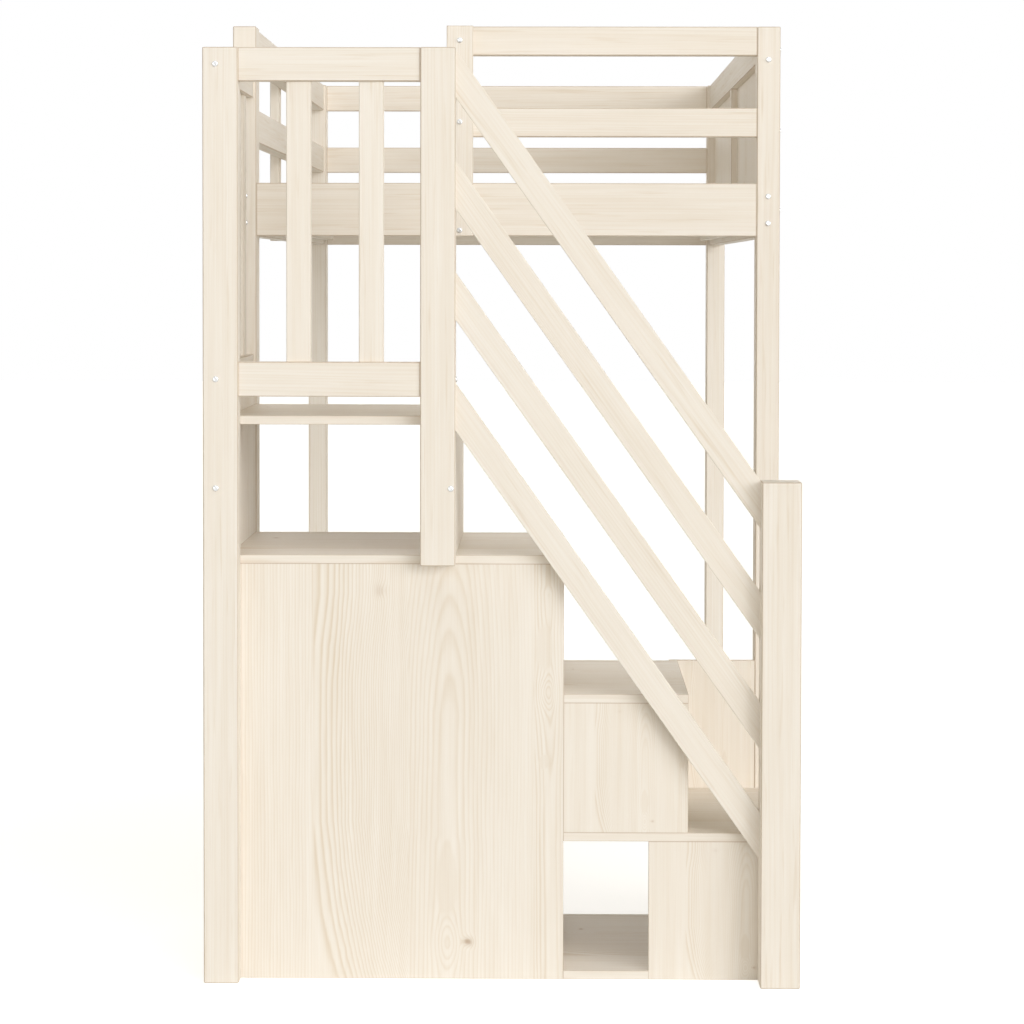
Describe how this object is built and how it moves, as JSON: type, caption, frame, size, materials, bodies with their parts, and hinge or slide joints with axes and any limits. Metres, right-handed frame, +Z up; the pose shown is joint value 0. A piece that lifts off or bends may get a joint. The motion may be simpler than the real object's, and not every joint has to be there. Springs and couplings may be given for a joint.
{
  "type": "loft bed",
  "caption": "High single bed on posts, with guard rails round the mattress and a stair block of storage cubbies, landing guard and sloping handrail at its foot end.",
  "frame": {"origin": "on the floor, in the middle of the whole footprint, stairs and bolt heads included", "axes": "+X across the bed towards the closed guard and the newel, +Y along the bed from the stairs to the far end, +Z up"},
  "size_m": [1.106, 2.579, 1.786],
  "materials": {
    "timber": "pale whitewashed pine, satin",
    "board": "pale whitewashed pine grain on flat board, satin",
    "bolt": "bright plated steel, domed and smooth"
  },
  "bodies": {
    "root": {"baluster_front_1": "timber", "baluster_front_2": "timber", "baluster_side_1": "timber", "baluster_side_2": "timber", "baluster_side_3": "timber", "baluster_side_4": "timber", "bolt_heads": "bolt", "cupboard_bottom": "board", "cupboard_divider": "board", "cupboard_front_panel": "board", "cupboard_right_panel": "board", "cupboard_shelf_1": "board", "cupboard_shelf_2": "board", "deck_rail_far": "timber", "deck_rail_left": "timber", "deck_rail_near": "timber", "deck_rail_right": "timber", "guard_panel_far": "board", "guard_panel_near": "board", "guard_post_corner": "timber", "guard_post_stair": "timber", "handrail_1": "timber", "handrail_2": "timber", "handrail_3": "timber", "handrail_4": "timber", "landing_board": "board", "landing_low_rail_front": "timber", "landing_low_rail_side": "timber", "landing_riser": "board", "landing_top_rail_front": "timber", "landing_top_rail_side": "timber", "ledger_left": "timber", "ledger_right": "timber", "mattress_slats": "timber", "middle_rail_far": "timber", "middle_rail_left": "timber", "middle_rail_near": "timber", "newel": "timber", "platform_board": "board", "post_far_left": "timber", "post_far_right": "timber", "post_near_left": "timber", "post_near_right": "timber", "stair_left_panel": "board", "step_one_back_panel": "board", "step_one_board": "board", "step_one_bottom": "board", "step_one_end_panel": "board", "step_one_side_panel": "board", "step_two_board": "board", "step_two_riser": "board", "step_two_side_panel": "board", "top_rail_far": "timber", "top_rail_left": "timber", "top_rail_near": "timber", "top_rail_right": "timber", "upright_left": "timber", "upright_near": "timber", "upright_right": "timber"}
  },
  "joints": []
}
